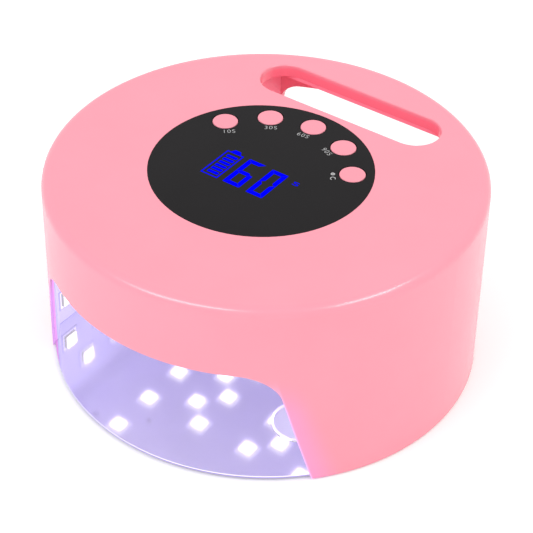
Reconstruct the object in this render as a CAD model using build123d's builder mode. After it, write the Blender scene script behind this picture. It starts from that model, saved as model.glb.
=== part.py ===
"""UV LED nail lamp: a drum-shaped housing with a hand chamber, a carrying handle and a round control panel.

Millimetres, +Z up. The origin is on the table, at the centre of the drum. The hand goes in along +Y through
the mouth in the front (-Y); the handle slot and the sockets are at the rear (+Y).
"""
import os

from build123d import *

# ---------------------------------------------------------------------------------- driving dimensions
GAP = 0.2                      # assembly clearance between neighbouring pieces

# Drum-shaped top housing
DRUM_R = 110.0
TOP_Z = 106.0
SKIRT_Z = 0.8                  # lower rim of the skirt, above the table
SKIRT_T = 2.8
TOP_T = 3.0
TOP_EDGE_R = 4.8
RIM_R = 0.8                    # rounding of the rims of the mouth and of the slot

# Mouth in the front of the skirt: flat lintel, jambs that lean inwards
MOUTH_Z = 67.0
MOUTH_FOOT_X = 81.75           # half width at the table
MOUTH_LEAN = 0.2065            # inward lean of each jamb, per millimetre of height
MOUTH_CORNER_R = 18.0
REBATE_R = 108.7               # behind the rim of the mouth the skirt is thinner, for the liner's lip
REBATE_HALF_X = 93.5
REBATE_TOP_Z = 73.0

# Handle: a slot in the top, and a recess behind it that is open to the rear
SLOT_HALF_X = 53.3
SLOT_FRONT_Y = 59.0
SLOT_REAR_Y = 86.0
SLOT_LIP_Z = 99.0              # underside of the thick lip round the slot
BAR_FRONT_Z = 97.0             # underside of the handle bar, at the slot
BAR_REAR_Z = 86.2              # underside of the handle bar, at the skirt
BAR_T = 2.0
RECESS_HALF_X = 56.0
RECESS_FLOOR_Z = 39.0
RECESS_TOP_Z = 86.0            # top of the rear window in the skirt
RECESS_CORNER_R = 8.5
WELL_T = 2.5

# Round control panel in the top
PANEL_X = -2.5
PANEL_Y = -1.0
PANEL_R = 55.7
PANEL_T = 2.0
LEDGE_IN_R = 52.6
LEDGE_OUT_R = 57.2
LEDGE_Z = 101.0
BUTTON_NAMES = ("button_10s", "button_30s", "button_60s", "button_90s", "button_mode")
BUTTON_FIRST_DEG = 150.0
BUTTON_STEP_DEG = -30.0
BUTTON_RING_R = 44.8
BUTTON_R = 6.5
BUTTON_PROUD = 0.2
BUTTON_FLANGE_R = 8.0
BUTTON_FLANGE_T = 1.6
BUTTON_TRAVEL = 0.8
GUIDE_IN_R = 36.6
GUIDE_OUT_R = 52.3
GUIDE_T = 3.3
GUIDE_FIT = 0.08               # radial running clearance of a button in its guide

# Control board under the panel
PCB_T = 1.6
BOARD_Z = 92.0
BOARD_R = 60.0
BOARD_REAR_Y = 54.0
BOARD_POST_RING_R = 57.5
BOARD_POST_DEGS = (-60.0, -15.0, 195.0, 240.0)
POST_R = 3.5
SCREW_R = 1.4
SCREW_HOLE_R = 1.5
SCREW_HEAD_R = 2.8
SCREW_HEAD_T = 2.0
SCREW_CROSS = (3.0, 0.7, 0.9)  # length, width and depth of the cross in a head
DISPLAY_SIZE = (52.0, 30.0)
DISPLAY_SPOT = (1.5, -8.0)     # spots are from the centre of the panel
TACT_SIDE = 6.0
TACT_T = 3.0
TACT_PLUNGER_R = 1.7
BUZZER_R = 6.0
BUZZER_T = 8.0
BUZZER_SPOT = (36.0, -28.0)
CHIP_T = 1.4
CHIP_GROUPS = (                # length, width, spots
    (9.0, 9.0, ((0.0, 18.0),)),
    (5.0, 6.0, ((-16.0, 30.0), (14.0, 34.0))),
    (6.5, 9.0, ((-40.0, 12.0), (38.0, 14.0))),
)
CAPACITOR_R = 3.15
CAPACITOR_T = 7.0
CAPACITOR_SPOTS = ((-36.0, -26.0), (-44.0, -20.0), (-26.0, 38.0))
CONNECTOR_SIZE = (7.0, 10.0, 6.0)
CONNECTOR_WALL = 1.0
CONNECTOR_DEPTH = 4.0
CONNECTOR_SPOTS = ((-50.0, 10.0), (50.0, 2.0), (0.0, -48.0))

# Hand chamber
CHAMBER_HALF_X = 88.3
CHAMBER_REAR_Y = 48.0
CHAMBER_CORNER_R = 32.0
CEILING_Z = 54.0
CEILING_EDGE_R = 12.0
LINER_T = 2.4
VISOR_Y = -71.0                # where the ceiling starts to rise towards the mouth
VISOR_TOP_Y = -83.0            # where it has risen to its full height, just above the lintel
VISOR_RISE = 14.5
LIP_T = 1.5                    # lip of the liner, against the skirt round the mouth

# LEDs: columns on the ceiling as (half spacing, first y, count), rows on the walls
LED_PITCH = 26.0
CEILING_COLUMNS = ((50.0, -61.5, 4), (27.5, -22.5, 3), (16.0, -35.5, 3))
SIDE_ROWS = ((17.5, -54.0), (37.0, -41.5))
SIDE_PITCH = 24.5
SIDE_COUNT = 3
REAR_LED_Z = 29.0
REAR_LED_PITCH = 24.0
REAR_LED_COUNT = 4
LED_BODY = 7.0
LED_LENS = 7.8
LED_WINDOW = 8.8
LENS_PROUD = 2.0               # how far a lens stands out of the wall that it looks through
LENS_T = 2.6
LENS_EDGE_R = 0.9
IR_R = 2.5                     # infrared windows that see the hand
IR_SPOTS = ((-6.0, 24.0), (6.0, 24.0))
CEILING_BOARD = (120.0, 106.0, 4.0)    # length, width, corner radius
CEILING_BOARD_Y = -17.0
SIDE_BOARD = (70.0, 31.0, 2.0)
SIDE_BOARD_SPOT = (-22.3, 27.4)        # y and z of its centre
REAR_BOARD = (86.0, 20.0, 2.0)
WALL_BOARD_T = 1.2

# Base plate with its feet and magnets
PLATE_Z = 3.0                  # its upper face
PLATE_T = 1.2
PLATE_R = 106.6
PLATE_LIP_R = 108.5            # the plate reaches further forward in the mouth
PLATE_LIP_HALF_X = 89.0
FOOT_RING_R = 72.4
SEAT_DEGS = (-40.0, 200.0)     # feet under a seat that shows inside the chamber
REAR_FOOT_DEG = 80.0           # foot under the lower frame
SEAT_R = 14.4
SEAT_RIDGE_W = 1.8
SEAT_RIDGE_H = 0.6
SEAT_DISH = 0.25               # depth of the dished floor inside the ridge
FOOT_R = 12.5

# Lower frame between the liner and the skirt
FRAME_Z = PLATE_Z + GAP
FRAME_T = 4.0
FRAME_R = 106.9
HOUSING_SCREW_R = 102.6        # pitch radius
HOUSING_SCREW_DEGS = (0.0, 35.0, 62.0, 118.0, 145.0, 180.0)
HOUSING_POST_Z = 24.0
TAB_YS = (-32.0, 8.0)
TAB_HALF_Y = 5.5
TAB_OUT_X = 99.5
TAB_SCREW_X = 95.6
TAB_T = 4.0
MAGNET_R = 5.0
MAGNET_T = 2.8
MAGNET_SPOTS = ((98.0, -12.0), (-98.0, -12.0), (32.0, 84.0), (-32.0, 84.0))

# Battery pack above the chamber
CELL_R = 9.2
CELL_L = 65.0
CELL_COUNT = 4
CELL_PITCH = 19.6
CELL_Z = 72.4
CELL_Y = -32.0
TRAY_HALF_X = 70.0
TRAY_Z = 60.6
TRAY_T = 2.0
TRAY_END_T = 2.6
TRAY_LEG_X = 66.0
TRAY_LEG_DY = 29.0
TRAY_LEG_R = 4.0
CRADLE_RIB_T = 4.0
CRADLE_RIB_DY = 18.0
CONTACT_T = 0.3
CONTACT_H = 7.0

# Sockets in the rear of the skirt
PORT_HALF_X = 36.0
PORT_LOW_Z = 10.0
PORT_TOP_Z = 31.0
PORT_CORNER_R = 5.0
PORT_FACE_Y = 100.5
PORT_T = 2.5
PORT_WALL = 3.0
PORT_AXIS_Z = 20.5
SWITCH_X = -15.0
SWITCH_BEZEL = (22.0, 15.0, 1.6)
SWITCH_BODY = (18.6, 12.6, 15.0)
ROCKER_HALF_LONG = 7.8
ROCKER_HALF_WIDE = 4.8
ROCKER_SWEEP_R = 8.4           # everything of the rocker turns inside this radius
ROCKER_TILT_DEG = 8.0          # the rocker leans this far each way from level
ROCKER_PIN_R = 1.0
JACK_X = 18.0
JACK_BODY = (12.0, 15.0, 11.0)
JACK_NOSE_R = 5.2
JACK_BORE_R = 2.8
JACK_PIN_R = 1.05
JACK_DEPTH = 11.0

# Power board behind the chamber
POWER_Z = 12.2
POWER_HALF_X = 46.0
POWER_Y = (55.0, 80.0)
POWER_POST_X = 41.0
POWER_POST_Y = (59.0, 76.0)
INDUCTOR_SPOT = (-26.0, 68.0)
INDUCTOR_RING_R = 6.0
INDUCTOR_WINDING_R = 3.0
POWER_CAP_R = 4.0
POWER_CAP_T = 12.0
POWER_CAP_SPOTS = ((-6.0, 63.0), (4.0, 63.0), (28.0, 60.0))
SINK_SPOT = (30.0, 72.5)
SINK_SIZE = (16.0, 10.0, 14.0)
SINK_BASE_T = 2.5
SINK_GROOVE_W = 2.2
SINK_GROOVE_PITCH = 4.0
LEAD_R = 0.9

# ---------------------------------------------------------------------------------- worked out from them
DRUM_IN_R = DRUM_R - SKIRT_T
TOP_UNDER_Z = TOP_Z - TOP_T
SLOT_W = SLOT_REAR_Y - SLOT_FRONT_Y
SLOT_Y = (SLOT_REAR_Y + SLOT_FRONT_Y) / 2
BAR_FRONT_Y = SLOT_REAR_Y + WELL_T
PANEL_Z = TOP_Z - PANEL_T
FRAME_TOP_Z = FRAME_Z + FRAME_T
TAB_Z = FRAME_TOP_Z + GAP
BUTTON_TOP_Z = TOP_Z + BUTTON_PROUD
GUIDE_Z = PANEL_Z - 0.1 - GUIDE_T
FLANGE_Z = GUIDE_Z - GAP - BUTTON_FLANGE_T
BOARD_TOP_Z = BOARD_Z + PCB_T
TACT_TOP_Z = FLANGE_Z - BUTTON_TRAVEL - 0.1
LINER_TOP_Z = CEILING_Z + LINER_T
LINER_FRONT_R = REBATE_R - 0.1
LED_BOARD_Z = LINER_TOP_Z + GAP
LENS_TIP_Z = CEILING_Z - LENS_PROUD
SIDE_BOARD_X = CHAMBER_HALF_X + LINER_T + 0.1
REAR_BOARD_Y = CHAMBER_REAR_Y + LINER_T + GAP
PANEL_PLANE = Plane((PANEL_X, PANEL_Y, 0))
DISH_R = SEAT_R - SEAT_RIDGE_W


def jamb_x(z):
    """Half width of the mouth at height z."""
    return MOUTH_FOOT_X - MOUTH_LEAN * z


def ring_spots(radius, degs, plane):
    """Points at the given angles on a circle round a plane's origin."""
    places = [plane.location * Location((0, 0, 0), (0, 0, deg)) * Location((radius, 0, 0)) for deg in degs]
    return [(place.position.X, place.position.Y) for place in places]


CEILING_SPOTS = [
    (side * x, first_y + LED_PITCH * k)
    for x, first_y, count in CEILING_COLUMNS
    for side in (-1, 1)
    for k in range(count)
]
SIDE_SPOTS = [(first_y + SIDE_PITCH * k, z) for z, first_y in SIDE_ROWS for k in range(SIDE_COUNT)]
REAR_SPOTS = [(REAR_LED_PITCH * (k - (REAR_LED_COUNT - 1) / 2), REAR_LED_Z) for k in range(REAR_LED_COUNT)]
LED_BOARD_SCREWS = [(-40.0, -48.0), (40.0, -48.0), (-40.0, 16.0), (40.0, 16.0)]
TRAY_LEGS = [(sx * TRAY_LEG_X, CELL_Y + sy * TRAY_LEG_DY) for sx in (-1, 1) for sy in (-1, 1)]
POWER_POSTS = [(sx * POWER_POST_X, y) for sx in (-1, 1) for y in POWER_POST_Y]
SEAT_SPOTS = ring_spots(FOOT_RING_R, SEAT_DEGS, Plane.XY)
FOOT_SPOTS = SEAT_SPOTS + ring_spots(FOOT_RING_R, (REAR_FOOT_DEG,), Plane.XY)
TAB_SCREWS = [(sx * TAB_SCREW_X, y) for sx in (-1, 1) for y in TAB_YS]

os.makedirs("parts", exist_ok=True)


def save(piece, name):
    """Label a finished piece and write its STEP file."""
    piece.part.label = name
    export_step(piece.part, f"parts/{name}.step")


# ---------------------------------------------------------------------------------- shared outlines
# The mouth, seen from the front
with BuildSketch(Plane.XZ) as mouth_outline:
    with BuildLine():
        Polyline(
            (-jamb_x(-2), -2),
            (-jamb_x(MOUTH_Z), MOUTH_Z),
            (jamb_x(MOUTH_Z), MOUTH_Z),
            (jamb_x(-2), -2),
            close=True,
        )
    make_face()
    fillet(mouth_outline.vertices().group_by(Axis.Y)[-1], MOUTH_CORNER_R)

# The front of the drum out to the rebate behind the rim of the mouth, seen from above
with BuildSketch() as rebate_plan:
    Circle(REBATE_R)
    with Locations((0, -DRUM_R / 2)):
        Rectangle(2 * REBATE_HALF_X, DRUM_R, mode=Mode.INTERSECT)

# The handle slot, seen from above
with BuildSketch(Plane.XY.offset(RECESS_FLOOR_Z)) as slot_outline:
    with Locations((0, SLOT_Y)):
        SlotOverall(2 * SLOT_HALF_X, SLOT_W)

# ---------------------------------------------------------------------------------- top housing
with BuildPart() as top_housing:
    # Drum with its rounded top edge, hollow from below
    with BuildSketch(Plane.XY.offset(SKIRT_Z)):
        Circle(DRUM_R)
    extrude(amount=TOP_Z - SKIRT_Z)
    fillet(top_housing.edges().filter_by(GeomType.CIRCLE).group_by(Axis.Z)[-1], TOP_EDGE_R)
    with BuildSketch(Plane.XY.offset(SKIRT_Z)):
        Circle(DRUM_IN_R)
    extrude(amount=TOP_UNDER_Z - SKIRT_Z, mode=Mode.SUBTRACT)

    # Thick lip round the slot, and the ledge that the panel lies on
    with BuildSketch(Plane.XY.offset(SLOT_LIP_Z)):
        with Locations((0, (SLOT_FRONT_Y + BAR_FRONT_Y) / 2)):
            Rectangle(2 * (RECESS_HALF_X - 0.1), BAR_FRONT_Y - SLOT_FRONT_Y - 0.2)
    extrude(amount=TOP_Z - TOP_T / 2 - SLOT_LIP_Z)
    with BuildSketch(PANEL_PLANE.offset(LEDGE_Z)):
        Circle(LEDGE_OUT_R)
    extrude(amount=TOP_Z - TOP_T / 2 - LEDGE_Z)
    with BuildSketch(PANEL_PLANE.offset(LEDGE_Z)):
        Circle(LEDGE_IN_R)
    extrude(amount=TOP_Z - LEDGE_Z, mode=Mode.SUBTRACT)
    with BuildSketch(PANEL_PLANE.offset(PANEL_Z)):
        Circle(PANEL_R + 0.15)
    extrude(amount=PANEL_T, mode=Mode.SUBTRACT)

    # Posts for the control board
    with BuildSketch(PANEL_PLANE.offset(BOARD_TOP_Z + 0.1)):
        for deg in BOARD_POST_DEGS:
            with PolarLocations(BOARD_POST_RING_R, 1, start_angle=deg):
                Circle(POST_R)
                Circle(SCREW_HOLE_R, mode=Mode.SUBTRACT)
    extrude(amount=TOP_UNDER_Z - BOARD_TOP_Z)

    # Posts on the skirt for the housing screws
    with BuildSketch(Plane.XY.offset(TAB_Z)):
        for deg in HOUSING_SCREW_DEGS:
            with PolarLocations(HOUSING_SCREW_R, 1, start_angle=deg):
                Circle(POST_R)
            with PolarLocations(HOUSING_SCREW_R + POST_R, 1, start_angle=deg):
                Rectangle(2 * POST_R, 2 * POST_R)
        Circle(DRUM_R - SKIRT_T / 2, mode=Mode.INTERSECT)
        for deg in HOUSING_SCREW_DEGS:
            with PolarLocations(HOUSING_SCREW_R, 1, start_angle=deg):
                Circle(SCREW_HOLE_R, mode=Mode.SUBTRACT)
    extrude(amount=HOUSING_POST_Z - TAB_Z)

    # Slot through the top, window behind the handle, mouth for the hand
    extrude(slot_outline.sketch, amount=TOP_Z - RECESS_FLOOR_Z + 1, mode=Mode.SUBTRACT)
    with BuildSketch(Plane.XZ):
        with Locations((0, (RECESS_FLOOR_Z + RECESS_TOP_Z) / 2)):
            RectangleRounded(2 * RECESS_HALF_X, RECESS_TOP_Z - RECESS_FLOOR_Z, RECESS_CORNER_R)
        with Locations((0, (PORT_LOW_Z + PORT_TOP_Z) / 2)):
            RectangleRounded(2 * PORT_HALF_X, PORT_TOP_Z - PORT_LOW_Z, PORT_CORNER_R)
    extrude(amount=-(DRUM_R + 1), mode=Mode.SUBTRACT)
    extrude(mouth_outline.sketch, amount=DRUM_R + 1, mode=Mode.SUBTRACT)
    extrude(rebate_plan.sketch, amount=REBATE_TOP_Z, mode=Mode.SUBTRACT)

    # Rounded rims
    slot_rim = top_housing.faces().filter_by(Plane.XY).sort_by(Axis.Z)[-1].inner_wires()
    slot_rim = slot_rim.sort_by(Axis.Y)[-1]
    fillet(slot_rim.edges(), RIM_R)
save(top_housing, "top_housing")

# ---------------------------------------------------------------------------------- handle
with BuildPart() as handle_well:
    # A tray that stands upright between the panel and the rear window
    with BuildSketch(Plane.XZ.offset(-(SLOT_FRONT_Y - WELL_T))) as well_outer:
        with Locations((0, (RECESS_FLOOR_Z - WELL_T + TOP_UNDER_Z - 0.1) / 2)):
            Rectangle(2 * (RECESS_HALF_X + WELL_T), TOP_UNDER_Z - 0.1 - RECESS_FLOOR_Z + WELL_T)
        fillet(well_outer.vertices().group_by(Axis.Y)[0], RECESS_CORNER_R + WELL_T)
    extrude(amount=-DRUM_R)
    with BuildSketch(Plane.XZ.offset(-SLOT_FRONT_Y)) as well_inner:
        with Locations((0, (RECESS_FLOOR_Z + TOP_Z) / 2)):
            Rectangle(2 * RECESS_HALF_X, TOP_Z - RECESS_FLOOR_Z)
        fillet(well_inner.vertices().group_by(Axis.Y)[0], RECESS_CORNER_R)
    extrude(amount=-DRUM_R, mode=Mode.SUBTRACT)
    with BuildSketch():
        Circle(FRAME_R)
    extrude(amount=TOP_Z, mode=Mode.INTERSECT)
save(handle_well, "handle_well")

with BuildPart() as handle_underside:
    with BuildSketch(Plane.YZ):
        with BuildLine():
            Polyline(
                (SLOT_REAR_Y, BAR_FRONT_Z),
                (DRUM_R, BAR_REAR_Z - 1.5),
                (DRUM_R, BAR_REAR_Z - 1.5 + BAR_T),
                (BAR_FRONT_Y + 1, BAR_FRONT_Z + BAR_T - 1.5),
                (BAR_FRONT_Y + 1, SLOT_LIP_Z - 0.1),
                (SLOT_REAR_Y, SLOT_LIP_Z - 0.1),
                close=True,
            )
        make_face()
    extrude(amount=RECESS_HALF_X - 0.1, both=True)
    with BuildSketch():
        Circle(FRAME_R)
    extrude(amount=TOP_Z, mode=Mode.INTERSECT)
save(handle_underside, "handle_underside")

# ---------------------------------------------------------------------------------- control panel
BUTTON_DEGS = [BUTTON_FIRST_DEG + BUTTON_STEP_DEG * k for k in range(len(BUTTON_NAMES))]
BUTTON_SPOTS = ring_spots(BUTTON_RING_R, BUTTON_DEGS, PANEL_PLANE)

with BuildPart() as display_panel:
    with BuildSketch(PANEL_PLANE.offset(PANEL_Z)):
        Circle(PANEL_R)
    extrude(amount=PANEL_T)
    with BuildSketch(Plane.XY.offset(PANEL_Z)):
        with Locations(BUTTON_SPOTS):
            Circle(BUTTON_R + 0.4)
    extrude(amount=PANEL_T, mode=Mode.SUBTRACT)
save(display_panel, "display_panel")

with BuildPart() as button_guide:
    with BuildSketch(PANEL_PLANE.offset(GUIDE_Z)):
        Circle(GUIDE_OUT_R)
        Circle(GUIDE_IN_R, mode=Mode.SUBTRACT)
    extrude(amount=GUIDE_T)
    with BuildSketch(Plane.XY.offset(GUIDE_Z)):
        with Locations(BUTTON_SPOTS):
            Circle(BUTTON_R + GUIDE_FIT)
    extrude(amount=GUIDE_T, mode=Mode.SUBTRACT)
save(button_guide, "button_guide")

for button_name, button_spot in zip(BUTTON_NAMES, BUTTON_SPOTS):
    with BuildPart() as button:
        with BuildSketch(Plane.XY.offset(FLANGE_Z)):
            with Locations(button_spot):
                Circle(BUTTON_FLANGE_R)
        extrude(amount=BUTTON_FLANGE_T)
        with BuildSketch(Plane.XY.offset(FLANGE_Z + BUTTON_FLANGE_T)):
            with Locations(button_spot):
                Circle(BUTTON_R)
        extrude(amount=BUTTON_TOP_Z - FLANGE_Z - BUTTON_FLANGE_T)
        fillet(button.edges().sort_by(Axis.Z)[-1], 0.6)
    save(button, button_name)

with BuildPart() as display_module:
    with BuildSketch(PANEL_PLANE.offset(BOARD_TOP_Z + 0.1)):
        with Locations(DISPLAY_SPOT):
            RectangleRounded(*DISPLAY_SIZE, 1.5)
    extrude(amount=PANEL_Z - 0.1 - BOARD_TOP_Z - 0.1)
save(display_module, "display_module")

# ---------------------------------------------------------------------------------- control board
with BuildPart() as control_board:
    with BuildSketch(PANEL_PLANE.offset(BOARD_Z)):
        Circle(BOARD_R)
        with Locations((0, BOARD_REAR_Y - PANEL_Y + BOARD_R / 2)):
            Rectangle(2 * BOARD_R, BOARD_R, mode=Mode.SUBTRACT)
        for deg in BOARD_POST_DEGS:
            with PolarLocations(BOARD_POST_RING_R, 1, start_angle=deg):
                Circle(SCREW_HOLE_R, mode=Mode.SUBTRACT)
    extrude(amount=PCB_T)
save(control_board, "control_board")

with BuildPart() as tact_switches:
    with BuildSketch(Plane.XY.offset(BOARD_TOP_Z)):
        with Locations(BUTTON_SPOTS):
            Rectangle(TACT_SIDE, TACT_SIDE)
    extrude(amount=TACT_T)
    with BuildSketch(Plane.XY.offset(BOARD_TOP_Z + TACT_T)):
        with Locations(BUTTON_SPOTS):
            Circle(TACT_PLUNGER_R)
    extrude(amount=TACT_TOP_Z - BOARD_TOP_Z - TACT_T)
save(tact_switches, "tact_switches")

with BuildPart() as buzzer:
    with BuildSketch(PANEL_PLANE.offset(BOARD_Z)):
        with Locations(BUZZER_SPOT):
            Circle(BUZZER_R)
    extrude(amount=-BUZZER_T)
    fillet(buzzer.edges().group_by(Axis.Z)[0], 0.8)
    with BuildSketch(PANEL_PLANE.offset(BOARD_Z - BUZZER_T)):
        with Locations(BUZZER_SPOT):
            Circle(1)
    extrude(amount=BUZZER_T / 2, mode=Mode.SUBTRACT)
save(buzzer, "buzzer")

with BuildPart() as board_chips:
    with BuildSketch(PANEL_PLANE.offset(BOARD_Z)):
        for chip_l, chip_w, spots in CHIP_GROUPS:
            with Locations(*spots):
                Rectangle(chip_l, chip_w)
    extrude(amount=-CHIP_T)
    chamfer(board_chips.edges().group_by(Axis.Z)[0], 0.2)
save(board_chips, "board_chips")

with BuildPart() as board_capacitors:
    with BuildSketch(PANEL_PLANE.offset(BOARD_Z)):
        with Locations(*CAPACITOR_SPOTS):
            Circle(CAPACITOR_R)
    extrude(amount=-CAPACITOR_T)
    fillet(board_capacitors.edges().group_by(Axis.Z)[0], 0.5)
save(board_capacitors, "board_capacitors")

with BuildPart() as board_connectors:
    with BuildSketch(PANEL_PLANE.offset(BOARD_Z)):
        with Locations(*CONNECTOR_SPOTS):
            Rectangle(CONNECTOR_SIZE[0], CONNECTOR_SIZE[1])
    extrude(amount=-CONNECTOR_SIZE[2])
    with BuildSketch(PANEL_PLANE.offset(BOARD_Z - CONNECTOR_SIZE[2])):
        with Locations(*CONNECTOR_SPOTS):
            Rectangle(CONNECTOR_SIZE[0] - 2 * CONNECTOR_WALL, CONNECTOR_SIZE[1] - 2 * CONNECTOR_WALL)
    extrude(amount=CONNECTOR_DEPTH, mode=Mode.SUBTRACT)
save(board_connectors, "board_connectors")

# ---------------------------------------------------------------------------------- hand chamber
LINER_INNER_PLAN = (CHAMBER_HALF_X, CHAMBER_REAR_Y, CHAMBER_CORNER_R, CEILING_Z, CEILING_EDGE_R, 0.0)
LINER_OUTER_PLAN = (
    CHAMBER_HALF_X + LINER_T,
    CHAMBER_REAR_Y + LINER_T,
    CHAMBER_CORNER_R + LINER_T,
    LINER_TOP_Z,
    CEILING_EDGE_R + LINER_T,
    FRAME_Z,
)


def chamber_block(half_x, rear_y, corner_r, top_z, edge_r, low_z):
    """The chamber as a solid: rounded at the rear and under the ceiling, rising towards the mouth."""
    with BuildPart() as block:
        with BuildSketch(Plane.XY.offset(low_z)) as plan:
            with Locations((0, (rear_y - DRUM_R) / 2)):
                Rectangle(2 * half_x, rear_y + DRUM_R)
            fillet(plan.vertices().group_by(Axis.Y)[-1], corner_r)
        extrude(amount=top_z - low_z)
        top_edges = block.edges().group_by(Axis.Z)[-1]
        fillet(top_edges.sort_by(Axis.Y)[1:], edge_r)
        with BuildSketch(Plane.YZ):
            with BuildLine():
                Polyline(
                    (VISOR_Y, top_z),
                    (VISOR_TOP_Y, top_z + VISOR_RISE),
                    (-DRUM_R, top_z + VISOR_RISE),
                    (-DRUM_R, top_z - edge_r - 1),
                    (VISOR_Y, top_z - edge_r - 1),
                    close=True,
                )
            make_face()
        extrude(amount=half_x, both=True)
    return block.part


# Lip that lines the inside of the skirt round the mouth, part of the liner's moulding
with BuildPart() as mouth_lip:
    with BuildSketch(Plane.XY.offset(FRAME_Z)):
        Circle(DRUM_R)
        Circle(LINER_FRONT_R - LIP_T, mode=Mode.SUBTRACT)
        with Locations((0, -DRUM_R / 2)):
            Rectangle(2 * CHAMBER_HALF_X + LINER_T, DRUM_R, mode=Mode.INTERSECT)
    extrude(amount=REBATE_TOP_Z - GAP - FRAME_Z)
    extrude(mouth_outline.sketch, amount=DRUM_R + 1, mode=Mode.SUBTRACT)

with BuildPart() as chamber_liner:
    add(chamber_block(*LINER_OUTER_PLAN))
    add(chamber_block(*LINER_INNER_PLAN), mode=Mode.SUBTRACT)
    add(mouth_lip.part)
    with BuildSketch():
        Circle(FRAME_R)
        with Locations((0, -DRUM_R / 2)):
            Rectangle(2 * (CHAMBER_HALF_X + LINER_T), DRUM_R)
        Circle(LINER_FRONT_R, mode=Mode.INTERSECT)
    extrude(amount=TOP_Z, mode=Mode.INTERSECT)
    # Tabs that the lower frame is screwed to
    with BuildSketch(Plane.XY.offset(TAB_Z)):
        for side in (-1, 1):
            with Locations(*[(side * (TAB_OUT_X + SIDE_BOARD_X - 1) / 2, y) for y in TAB_YS]):
                Rectangle(TAB_OUT_X - SIDE_BOARD_X + 1, 2 * TAB_HALF_Y)
        with Locations(*TAB_SCREWS):
            Circle(SCREW_HOLE_R, mode=Mode.SUBTRACT)
    extrude(amount=TAB_T)
    # Windows for the LEDs, the hand sensor and the board screws
    with BuildSketch(Plane.XY.offset(CEILING_Z - 1)):
        with Locations(*CEILING_SPOTS):
            Rectangle(LED_WINDOW, LED_WINDOW)
        with Locations(*IR_SPOTS):
            Circle(IR_R + 0.4)
        with Locations(*LED_BOARD_SCREWS, *TRAY_LEGS):
            Circle(SCREW_HOLE_R)
    extrude(amount=LINER_T + 2, mode=Mode.SUBTRACT)
    with BuildSketch(Plane.YZ.offset(-SIDE_BOARD_X)):
        with Locations(*SIDE_SPOTS):
            Rectangle(LED_WINDOW, LED_WINDOW)
    extrude(amount=2 * SIDE_BOARD_X, mode=Mode.SUBTRACT)
    with BuildSketch(Plane.XZ.offset(-CHAMBER_REAR_Y + 1)):
        with Locations(*REAR_SPOTS):
            Rectangle(LED_WINDOW, LED_WINDOW)
    extrude(amount=-(LINER_T + 2), mode=Mode.SUBTRACT)
save(chamber_liner, "chamber_liner")

# ---------------------------------------------------------------------------------- LED boards
with BuildPart() as ceiling_led_board:
    with BuildSketch(Plane.XY.offset(LED_BOARD_Z)):
        with Locations((0, CEILING_BOARD_Y)):
            RectangleRounded(*CEILING_BOARD)
        with Locations(*LED_BOARD_SCREWS):
            Circle(SCREW_HOLE_R, mode=Mode.SUBTRACT)
    extrude(amount=PCB_T)
save(ceiling_led_board, "ceiling_led_board")

with BuildPart() as right_led_board:
    with BuildSketch(Plane.YZ.offset(SIDE_BOARD_X)):
        with Locations(SIDE_BOARD_SPOT):
            RectangleRounded(*SIDE_BOARD)
    extrude(amount=WALL_BOARD_T)
save(right_led_board, "right_led_board")

with BuildPart() as left_led_board:
    add(right_led_board.part.mirror(Plane.YZ))
save(left_led_board, "left_led_board")

with BuildPart() as rear_led_board:
    with BuildSketch(Plane.XZ.offset(-REAR_BOARD_Y)):
        with Locations((0, REAR_LED_Z)):
            RectangleRounded(*REAR_BOARD)
    extrude(amount=-WALL_BOARD_T)
save(rear_led_board, "rear_led_board")

# Each wall of LEDs as the plane of its lens tips, facing away from the chamber, and the spots on it
CEILING_WALL = (Plane.XY.offset(LENS_TIP_Z), CEILING_SPOTS, LED_BOARD_Z - LENS_TIP_Z)
RIGHT_WALL = (
    Plane.YZ.offset(CHAMBER_HALF_X - LENS_PROUD),
    SIDE_SPOTS,
    SIDE_BOARD_X - CHAMBER_HALF_X + LENS_PROUD,
)
LEFT_WALL = (
    Plane((-(CHAMBER_HALF_X - LENS_PROUD), 0, 0), x_dir=(0, -1, 0), z_dir=(-1, 0, 0)),
    [(-y, z) for y, z in SIDE_SPOTS],
    SIDE_BOARD_X - CHAMBER_HALF_X + LENS_PROUD,
)
REAR_WALL = (
    Plane((0, CHAMBER_REAR_Y - LENS_PROUD, 0), x_dir=(-1, 0, 0), z_dir=(0, 1, 0)),
    REAR_SPOTS,
    REAR_BOARD_Y - CHAMBER_REAR_Y + LENS_PROUD,
)
LED_GROUPS = (("ceiling", (CEILING_WALL,)), ("wall", (RIGHT_WALL, LEFT_WALL, REAR_WALL)))

for group_name, led_walls in LED_GROUPS:
    with BuildPart() as led_lenses:
        for tips, spots, depth in led_walls:
            for spot in spots:
                with BuildSketch(tips):
                    with Locations(spot):
                        Rectangle(LED_LENS, LED_LENS)
                extrude(amount=LENS_T)
                fillet(led_lenses.edges(Select.LAST).sort_by(Axis(tips.origin, tips.z_dir))[:4], LENS_EDGE_R)
    save(led_lenses, f"{group_name}_led_lenses")

    with BuildPart() as led_packages:
        for tips, spots, depth in led_walls:
            with BuildSketch(tips.offset(LENS_T)):
                with Locations(*spots):
                    Rectangle(LED_BODY, LED_BODY)
            extrude(amount=depth - LENS_T)
    save(led_packages, f"{group_name}_led_packages")

with BuildPart() as hand_sensors:
    with BuildSketch(Plane.XY.offset(CEILING_Z - 1)):
        with Locations(*IR_SPOTS):
            Circle(IR_R)
    extrude(amount=LED_BOARD_Z - CEILING_Z + 1)
    fillet(hand_sensors.edges().group_by(Axis.Z)[0], 1.8)
save(hand_sensors, "hand_sensors")

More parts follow.
